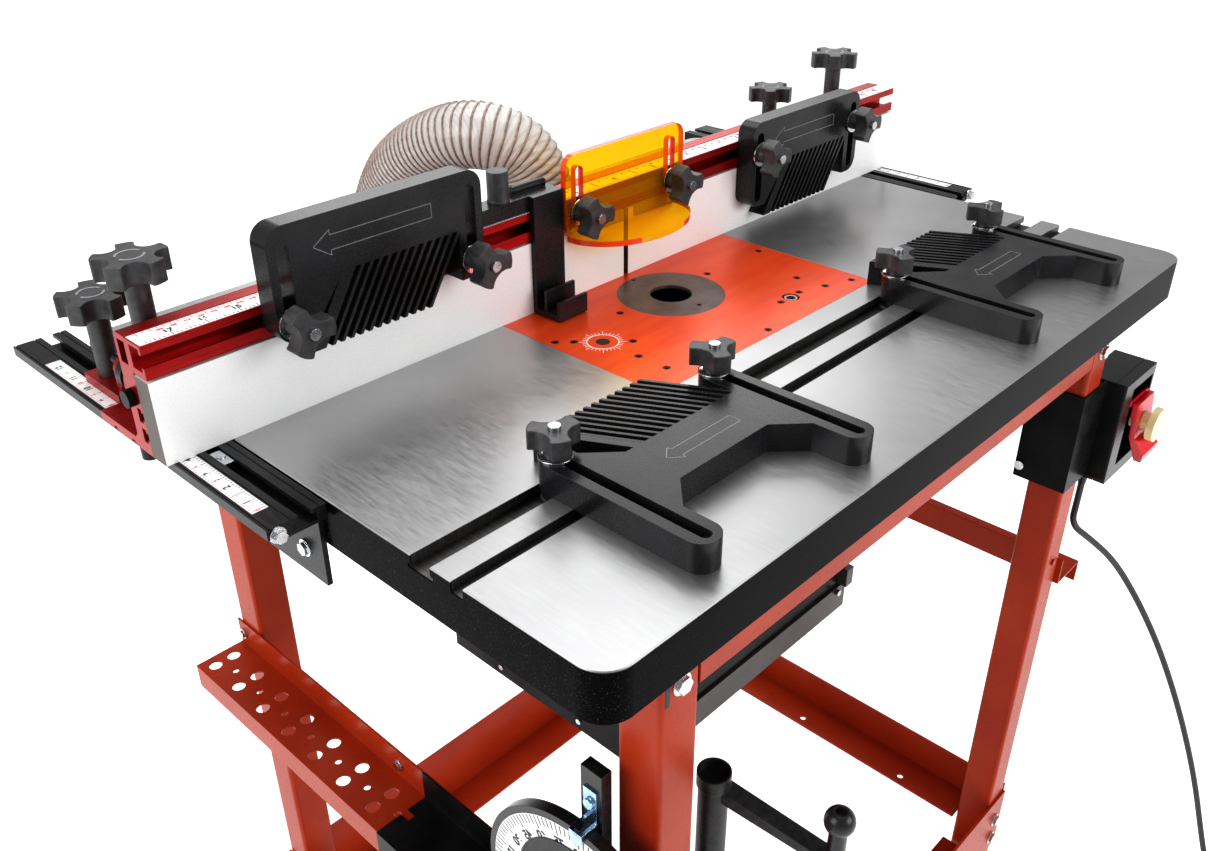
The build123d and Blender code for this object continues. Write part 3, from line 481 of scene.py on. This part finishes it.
def coil_points():
    """Helix wound on a ring: each turn lies beside the one before."""
    points = []
    steps = int(COIL_TURNS * POINTS_A_TURN)
    for k in range(1, steps + 1):
        turned = 2 * math.pi * k / POINTS_A_TURN
        angle = math.pi + turned
        packed = math.radians(-90) + math.radians(72) * turned / (2 * math.pi)
        radius = COIL_RADIUS + COIL_PACK * math.cos(packed)
        points.append((COIL_X + radius * math.cos(angle), COIL_Y + radius * math.sin(angle),
                       FLOOR + 10 + COIL_PACK * math.sin(packed)))
    return points


def smooth_curve(name, points, radius, resolution=12):
    curve = bpy.data.curves.new(name, "CURVE")
    curve.dimensions = "3D"
    curve.resolution_u = resolution
    curve.bevel_depth = radius / 1000
    curve.bevel_resolution = 5
    curve.use_fill_caps = True
    spline = curve.splines.new("NURBS")
    spline.points.add(len(points) - 1)
    for point, place in zip(spline.points, points):
        point.co = (*at(*place), 1)
    spline.order_u = 3
    spline.use_endpoint_u = True
    piece = bpy.data.objects.new(name, curve)
    bpy.context.scene.collection.objects.link(piece)
    return piece


def curve_line(points, resolution):
    """The places that a smooth curve through these control points runs through."""
    piece = smooth_curve("route", points, 0, resolution)
    bpy.context.view_layer.update()
    mesh = bpy.data.meshes.new_from_object(piece.evaluated_get(bpy.context.evaluated_depsgraph_get()))
    places = [vertex.co.copy() for vertex in mesh.vertices]
    bpy.data.objects.remove(piece)
    bpy.data.meshes.remove(mesh)
    return places


def line_length(places):
    return sum((b - a).length for a, b in zip(places, places[1:]))


PLUG_ENTRY = (COIL_X + 28, COIL_Y - COIL_RADIUS, FLOOR + 13)
lead_points = LEAD_ROUTE + coil_points() + [PLUG_ENTRY]
lead = smooth_curve("lead", lead_points, LEAD_RADIUS)
lead.data.materials.append(MATERIALS["lead_black"])
LEAD_LENGTH = round(line_length(curve_line(lead_points, 12)), 3)
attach(lead, BODY_OF["mains_lead"])
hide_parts("mains_lead", "lead_coil")

HOSE_RADIUS, HOSE_WALL, RIB_DEPTH, WIRE_PITCH, WIRE_RADIUS = 31.2, 1.2, 0.7, 6.8, 1.3
RINGS_A_PITCH = 4           # places along the hose for each turn of its wire
WIRE_PARTS = 5              # places along the wire for each of those
HOSE_SIDES, WIRE_SIDES = 56, 8


def frames_along(places):
    """Tangent and two steady side directions at each place."""
    frames = []
    side = Vector((1, 0, 0))
    for k in range(len(places)):
        before = places[max(k - 1, 0)]
        after = places[min(k + 1, len(places) - 1)]
        tangent = (after - before).normalized()
        side = (side - tangent * side.dot(tangent)).normalized()
        frames.append((tangent, side, tangent.cross(side)))
    return frames


def even_line(places, step):
    """The same line with its places an even step apart."""
    even = [places[0].copy()]
    left = step
    for a, b in zip(places, places[1:]):
        gap = b - a
        travelled = 0.0
        while gap.length - travelled >= left:
            travelled += left
            even.append(a + gap.normalized() * travelled)
            left = step
        left -= gap.length - travelled
    if (even[-1] - places[-1]).length > step * 0.3:
        even.append(places[-1].copy())
    return even


def tube_mesh(bm, places, radii, sides):
    rows = []
    for (_, side, other), place, radius in zip(frames_along(places), places, radii):
        row = []
        for k in range(sides):
            angle = 2 * math.pi * k / sides
            row.append(bm.verts.new(place + (side * math.cos(angle) + other * math.sin(angle)) * radius))
        rows.append(row)
    for first, second in zip(rows, rows[1:]):
        for k in range(sides):
            bm.faces.new((first[k], first[(k + 1) % sides], second[(k + 1) % sides], second[k]))
    return rows


hose_line = even_line(curve_line(HOSE_ROUTE, 24), WIRE_PITCH / (1000 * RINGS_A_PITCH))


def rib_radius(k):
    """The hose's outer radius at its k-th place, in metres."""
    dip = (1 - math.cos(2 * math.pi * k / RINGS_A_PITCH)) / 2
    return (HOSE_RADIUS - RIB_DEPTH * dip) / 1000


def hose_tube():
    """Ribbed tube with a wall, open at both ends."""
    bm = bmesh.new()
    ribs = [rib_radius(k) for k in range(len(hose_line))]
    outer = tube_mesh(bm, hose_line, ribs, HOSE_SIDES)
    inner = tube_mesh(bm, hose_line, [radius - HOSE_WALL / 1000 for radius in ribs], HOSE_SIDES)
    for outer_end, inner_end in ((outer[0], inner[0]), (outer[-1], inner[-1])):
        for k in range(HOSE_SIDES):
            after = (k + 1) % HOSE_SIDES
            bm.faces.new((outer_end[k], outer_end[after], inner_end[after], inner_end[k]))
    bmesh.ops.recalc_face_normals(bm, faces=bm.faces[:])
    return add_mesh("hose_tube", bm, "clear_hose", None)


def hose_wire():
    """Wire wound through the hose's wall."""
    places = []
    hose_frames = frames_along(hose_line)
    for k in range(len(hose_line) - 1):
        for part in range(WIRE_PARTS):
            share = part / WIRE_PARTS
            centre = hose_line[k].lerp(hose_line[k + 1], share)
            _, side, other = hose_frames[k]
            angle = 2 * math.pi * (k + share) / RINGS_A_PITCH
            offset = (side * math.cos(angle) + other * math.sin(angle)) * (HOSE_RADIUS - HOSE_WALL / 2) / 1000
            places.append(centre + offset)
    bm = bmesh.new()
    tube_mesh(bm, places, [WIRE_RADIUS / 1000] * len(places), WIRE_SIDES)
    return add_mesh("hose_wire", bm, "brown_wire", None)


hose = hose_tube()
wire = hose_wire()
for piece in (hose, wire):
    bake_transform(piece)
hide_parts("hose")


# ---- printed scales --------------------------------------------------------------------------
def into_patch(bm, low, high):
    """Adds a thin printed patch between two four-sided outlines: its face and its rim."""
    made = [bm.verts.new(place) for place in (*low, *high)]
    bm.faces.new(made[4:])
    for i in range(4):
        bm.faces.new((made[i], made[(i + 1) % 4], made[4 + (i + 1) % 4], made[4 + i]))
    return made


def into_band(bm, rows, closed):
    """Skins a run of four-cornered sections, with its two ends when it isn't a full ring."""
    for first, second in zip(rows, rows[1:]):
        for i in range(4):
            bm.faces.new((first[i], second[i], second[(i + 1) % 4], first[(i + 1) % 4]))
    if not closed:
        bm.faces.new(rows[0])
        bm.faces.new(rows[-1][::-1])
    bmesh.ops.recalc_face_normals(bm, faces=bm.faces[:])


def fence_scale():
    """White strip along the fence's front ledge: black ticks and figures in front, red behind."""
    body = BODY_OF["fence_beam"]
    top = 91.0
    box_piece("fence_scale_strip", (-456, 60.6, top), (456, 80.4, top + 0.25), "white_print", body)
    black = bmesh.new()
    red = bmesh.new()
    for k in range(-142, 143):
        x = k * 3.175
        long = 5.5 if k % 8 == 0 else 3.6 if k % 4 == 0 else 2.2
        into_box(black, (x - 0.3, 61.2, top + 0.2), (x + 0.3, 61.2 + long, top + 0.4))
    for k in range(-90, 91):
        x = k * 5
        long = 5.0 if k % 10 == 0 else 3.4 if k % 2 == 0 else 2.2
        into_box(red, (x - 0.28, 79.8 - long, top + 0.2), (x + 0.28, 79.8, top + 0.4))
    for k in range(-17, 18):
        into_text(black, str(abs(k)), (k * 25.4, 69.4, top + 0.35), 5.2, (1, 0, 0), (0, 1, 0))
    for k in range(-435, 436, 10):
        into_text(red, str(abs(k)), (k, 74.6, top + 0.35), 2.4, (1, 0, 0), (0, 1, 0))
    add_mesh("fence_scale_black", black, "black_print", body, False)
    add_mesh("fence_scale_red", red, "red_print", body, False)


def rail_scales():
    """White strip on each side rail with ticks across it."""
    body = BODY_OF["fence_rails"]
    strips, black, red = bmesh.new(), bmesh.new(), bmesh.new()
    for side in (-1, 1):
        into_box(strips, (side * 436, -33, -0.2), (side * 448, 275, 0.05))
        for k in range(0, 97):
            y = -31 + k * 3.175
            long = 4.2 if k % 8 == 0 else 2.8 if k % 4 == 0 else 1.8
            into_box(black, (side * 436.4, y - 0.3, 0.0), (side * (436.4 + long), y + 0.3, 0.09))
            into_box(red, (side * 447.6, y - 0.3, 0.0), (side * (447.6 - long * 0.8), y + 0.3, 0.09))
        for k in range(0, 12):
            into_text(red, str(k), (side * 442.4, -31 + k * 25.4, 0.02), 3.4, (0, -side, 0), (side, 0, 0))
            into_text(black, str(k + 1), (side * 442.4, -31 + (k + 0.5) * 25.4, 0.02), 5.0,
                      (0, -side, 0), (side, 0, 0))
    add_mesh("rail_scale_strips", strips, "white_print", body, False)
    add_mesh("rail_scale_black", black, "black_print", body, False)
    add_mesh("rail_scale_red", red, "red_print", body, False)


def flat_ring(bm, centre, inner, outer, height, start=0.0, end=2 * math.pi, sides=72):
    """Thin printed ring or arc lying in the XY plane."""
    rows = []
    x, y, z = centre
    for k in range(sides + 1):
        angle = start + (end - start) * k / sides
        c, s = math.cos(angle), math.sin(angle)
        rows.append([bm.verts.new(at(x + r * c, y + r * s, z + h)) for r, h in
                     ((inner, 0), (outer, 0), (outer, height), (inner, height))])
    into_band(bm, rows, end - start > 2 * math.pi - 1e-6)


def plate_print():
    """Height dial on the router plate, with its dark hub."""
    body = BODY_OF["router_plate"]
    marks = bmesh.new()
    x0, y0 = -113.7, -23.8
    flat_ring(marks, (x0, y0, 0.0), 13.0, 13.8, 0.08)
    for k in range(32):
        angle = 2 * math.pi * k / 32
        c, s = math.cos(angle), math.sin(angle)
        long = 20.0 if k % 4 == 0 else 17.5
        outline = ((14.4, -0.25), (long, -0.25), (long, 0.25), (14.4, 0.25))
        low, high = ([at(x0 + r * c - w * s, y0 + r * s + w * c, h) for r, w in outline]
                     for h in (0.0, 0.08))
        into_patch(marks, low, high)
    add_mesh("plate_dial_print", marks, "white_print", body, False)
    centre = bmesh.new()
    into_cylinder(centre, (x0, y0, -0.12), "z", 6.0, 0.4)
    add_mesh("plate_dial_hub", centre, "black_screw", body)


def outline_arrow(bm, points, plane, level, width=0.5, rise=0.15):
    """Thin engraved outline joining (u, v) points in the XY or XZ plane at the given level."""
    count = len(points)
    for k in range(count):
        u0, v0 = points[k]
        u1, v1 = points[(k + 1) % count]
        du, dv = u1 - u0, v1 - v0
        length = math.hypot(du, dv)
        nu, nv = -dv / length * width / 2, du / length * width / 2
        eu, ev = du / length * width / 2, dv / length * width / 2
        corners = [(u0 - eu + nu, v0 - ev + nv), (u0 - eu - nu, v0 - ev - nv),
                   (u1 + eu - nu, v1 + ev - nv), (u1 + eu + nu, v1 + ev + nv)]
        low, high = ([at(u, v, level + lift) if plane == "xy" else at(u, level - lift, v)
                      for u, v in corners] for lift in (0.0, rise))
        made = into_patch(bm, low, high)
        bm.faces.new(made[:4][::-1])
    bmesh.ops.recalc_face_normals(bm, faces=bm.faces[:])


def arrow_shape(tip, end, middle, half, head):
    """Outline of a left pointing arrow as (u, v) points."""
    neck = tip + head
    return [(tip, middle), (neck, middle + half * 1.7), (neck, middle + half), (end, middle + half),
            (end, middle - half), (neck, middle - half), (neck, middle - half * 1.7)]


def board_arrows():
    for tag, (cx, base) in UPRIGHTS.items():
        marks = bmesh.new()
        outline_arrow(marks, arrow_shape(cx - 58, cx + 45, base + 64, 5.5, 14), "xz", 41.0)
        add_mesh("upright_arrow_" + tag, marks, "grey_line", BODY_OF["upright_board_" + tag], False)
    for tag, cx in FLATS.items():
        marks = bmesh.new()
        outline_arrow(marks, arrow_shape(cx - 34, cx + 38, -205, 5.0, 10), "xy", 22.0)
        add_mesh("flat_arrow_" + tag, marks, "grey_line", BODY_OF["flat_board_" + tag], False)


# ---- knob metalwork --------------------------------------------------------------------------
def facing_hardware(name, x, y_front, clamp_y, body):
    """Zinc bolt end in the knob's middle and the flanged washer behind it."""
    bm = bmesh.new()
    z = FENCE_SLOT_Z
    into_cylinder(bm, (x, y_front + 0.3, z), "y", 4.3, 3.2, 24)
    ring_profile(bm, (x, clamp_y - 1.05, z), "y",
                 [(8.2, 1.05), (11.8, 1.05), (11.8, -0.2), (9.6, -1.4), (8.2, -1.4)])
    add_mesh(name, bm, "zinc", body)


def standing_hardware(name, x, body):
    """The same under the knobs that stand on the flat boards."""
    bm = bmesh.new()
    y = WIDE_SLOT_Y
    into_cylinder(bm, (x, y, 44.4), "z", 4.3, 3.0, 24)
    ring_profile(bm, (x, y, 23.0), "z", [(8.2, -1.0), (11.9, -1.0), (11.9, 0.3), (9.6, 1.5), (8.2, 1.5)])
    add_mesh(name, bm, "zinc", body)


def knob_metal():
    """Metal of every board and guard knob, and the arcs marked on the clamp knobs."""
    for tag, side in (("left", -1), ("right", 1)):
        facing_hardware("guard_metal_" + tag, side * 60, 28, 54, BODY_OF["guard_knob_" + tag])
        for letter, offset in BOLT_OFFSETS:
            body = BODY_OF["upright_knob_" + tag + "_" + letter]
            facing_hardware("upright_metal_" + tag + "_" + letter, UPRIGHTS[tag][0] + offset, 14, 41, body)
            body = BODY_OF["flat_knob_" + tag + "_" + letter]
            standing_hardware("flat_metal_" + tag + "_" + letter, FLATS[tag] + offset, body)
        for knob, y, z in (("lock_knob_", 122.0, 128.0), ("rail_knob_", 208.0, 75.0)):
            marks = bmesh.new()
            for start in (20, 200):
                flat_ring(marks, (side * RAIL_X, y, z), 8.6, 10.4, 0.25,
                          math.radians(start), math.radians(start + 140), 24)
            add_mesh(knob + "mark_" + tag, marks, "grey_line", BODY_OF[knob + tag], False)


# ---- mitre gauge face, switch and small fittings ----------------------------------------------
MITRE_Y, MITRE_Z, MITRE_FRONT = -240.5, -295.0, -366.0


def mitre_face():
    """Protractor print, handle base and the bright pointer on the stored gauge."""
    body = BODY_OF["mitre_head"]
    white, black = bmesh.new(), bmesh.new()
    rows = []
    sides = 60
    for k in range(sides + 1):
        angle = math.radians(2) + math.radians(176) * k / sides
        rows.append([white.verts.new(at(MITRE_FRONT - depth, MITRE_Y + r * math.cos(angle),
                                        MITRE_Z + r * math.sin(angle)))
                     for r, depth in ((66, 0), (90, 0), (90, 0.3), (66, 0.3))])
    into_band(white, rows, False)
    for k in range(0, 181, 3):
        angle = math.radians(k)
        if not 2 < k < 178:
            continue
        inner = 79 if k % 15 == 0 else 82
        c, s = math.cos(angle), math.sin(angle)
        outline = ((inner, -0.45), (89.4, -0.45), (89.4, 0.45), (inner, 0.45))
        low, high = ([at(MITRE_FRONT - depth, MITRE_Y + r * c - w * s, MITRE_Z + r * s + w * c)
                      for r, w in outline] for depth in (0.25, 0.45))
        into_patch(black, low, high)
    for k in range(15, 166, 15):
        angle = math.radians(k)
        c, s = math.cos(angle), math.sin(angle)
        label = str(k if k <= 90 else 180 - k)
        into_text(black, label, (MITRE_FRONT - 0.4, MITRE_Y + 73 * c, MITRE_Z + 73 * s), 7.5,
                  (0, s, -c), (0, c, s))
    add_mesh("mitre_print_white", white, "white_print", body, False)
    add_mesh("mitre_print_black", black, "black_print", body, False)


def mitre_hub():
    """Faceted black handle base that stands on the gauge's face."""
    bm = bmesh.new()
    into_cylinder(bm, (MITRE_FRONT - 9, MITRE_Y, MITRE_Z + 12), "x", 30, 18, 12, 24)
    into_cylinder(bm, (MITRE_FRONT - 22, MITRE_Y, MITRE_Z + 12), "x", 21, 9, 12, 17)
    add_mesh("mitre_hub", bm, "black_cast", BODY_OF["mitre_head"], False)
    washer = bmesh.new()
    ring_profile(washer, (MITRE_FRONT - 0.6, MITRE_Y, MITRE_Z + 12), "x",
                 [(46, 0.5), (62, 0.5), (62, -0.5), (46, -0.5)])
    add_mesh("mitre_hub_ring", washer, "black_cast", BODY_OF["mitre_head"])


def mitre_pointer():
    """Plated L pointer: a tab on the bar, a shelf towards the scale, and a turned down tip."""
    body = BODY_OF["mitre_bar"]
    bm = bmesh.new()
    into_box(bm, (-355.2, -246.5, -197), (-353.4, -234.5, -168))
    into_box(bm, (-369.5, -246.5, -198.4), (-353.6, -234.5, -196.6))
    tip = [(-246.5, -196.8), (-234.5, -196.8), (-234.5, -203), (-240.5, -211), (-246.5, -203)]
    front = [bm.verts.new(at(-369.5, y, z)) for y, z in tip]
    back = [bm.verts.new(at(-367.9, y, z)) for y, z in tip]
    bm.faces.new(front)
    bm.faces.new(back[::-1])
    for i in range(5):
        bm.faces.new((front[i], front[(i + 1) % 5], back[(i + 1) % 5], back[i]))
    bmesh.ops.recalc_face_normals(bm, faces=bm.faces[:])
    into_cylinder(bm, (-356.2, -240.5, -180), "x", 4.2, 2.6, 24)
    add_mesh("mitre_pointer", bm, "blue_zinc", body)


def small_screws():
    """Screws that only show as heads: dust box sides, switch sleeve and leg faces."""
    bright, painted = bmesh.new(), bmesh.new()
    for y in (74, -37):
        into_cylinder(bright, (-165.9, y, -382), "x", 3.0, 2.0, 20)
    into_cylinder(bright, (296 - 5.6, -232, -217), "x", 5.0, 2.4, 24)
    into_cylinder(bright, (148, -122.4, -362), "y", 3.4, 1.4, 20)
    add_mesh("small_screws", bright, "zinc", BODY_OF["dust_box"])
    into_cylinder(painted, (313, -281, -330), "y", 3.6, 2.4, 20)
    into_cylinder(painted, (-313, -281, -330), "y", 3.6, 2.4, 20)
    add_mesh("leg_plugs", painted, "red_paint", BODY_OF["legs"])


def slot_nut():
    """Square nut and screw end in the left rail slot, carried along by the fence."""
    bm = bmesh.new()
    into_box(bm, (-428, 36, -2.9), (-420, 56, -1.4))
    into_cylinder(bm, (-424, 47, -1.2), "z", 3.4, 1.4, 20)
    add_mesh("slot_nut", bm, "zinc", BODY_OF["fence_beam"])


def hose_band_screw():
    """Zinc band over the hose's front end, with its housing, screw and wing head."""
    bm = bmesh.new()
    ring_profile(bm, (3, 165, 37), "z", [(31.6, 6), (34.4, 6), (34.4, -6), (31.6, -6)])
    into_box(bm, (-38, 150, 32), (-30, 168, 42))
    into_cylinder(bm, (-38, 156, 37), "y", 3.0, 40, 16)
    into_box(bm, (-45, 134, 35.8), (-31, 138, 38.2))
    add_mesh("hose_band_screw", bm, "zinc", BODY_OF["hose_clamp"])


def leg_slot():
    """Black patch painted as the shade inside the slot beside the top bolt of the front left leg."""
    box_piece("leg_slot", (-327.5, -280.25, -90), (-323.5, -279.9, -72), "black_print", BODY_OF["legs"])


fence_scale()
rail_scales()
plate_print()
board_arrows()
knob_metal()
mitre_face()
mitre_hub()
mitre_pointer()
small_screws()
slot_nut()
hose_band_screw()
leg_slot()

# ---- floor and light -------------------------------------------------------------------------
floor_mesh = bmesh.new()
bmesh.ops.create_grid(floor_mesh, x_segments=2, y_segments=2, size=14.0)
floor = add_mesh("floor", floor_mesh, "floor", None, False)

world = bpy.data.worlds.new("world")
world.use_nodes = True
world.node_tree.nodes["Background"].inputs["Color"].default_value = (1, 1, 1, 1)
world.node_tree.nodes["Background"].inputs["Strength"].default_value = WORLD_LIGHT
bpy.context.scene.world = world


def soft_light(name, place, aim, size, power):
    data = bpy.data.lights.new(name, "AREA")
    data.shape = "RECTANGLE"
    data.size, data.size_y = size
    data.energy = power
    light = bpy.data.objects.new(name, data)
    bpy.context.scene.collection.objects.link(light)
    direction = at(*aim) - at(*place)
    turn = direction.to_track_quat("-Z", "Y").to_matrix().to_4x4()
    light.matrix_world = Matrix.Translation(at(*place)) @ turn


soft_light("overhead", (200, 500, 1900), (0, 0, 0), (1.8, 1.8), 30)
soft_light("left", (-2300, 500, 900), (0, 0, -200), (1.6, 1.6), 34)
soft_light("front", (700, -2300, 700), (0, 0, -250), (1.6, 1.2), 30)
soft_light("sheen", (1900, 2100, 1500), (-100, -100, 0), (2.2, 1.2), 20)
bpy.context.scene.view_settings.view_transform = "Standard"
bpy.context.scene.view_settings.look = "Medium High Contrast"
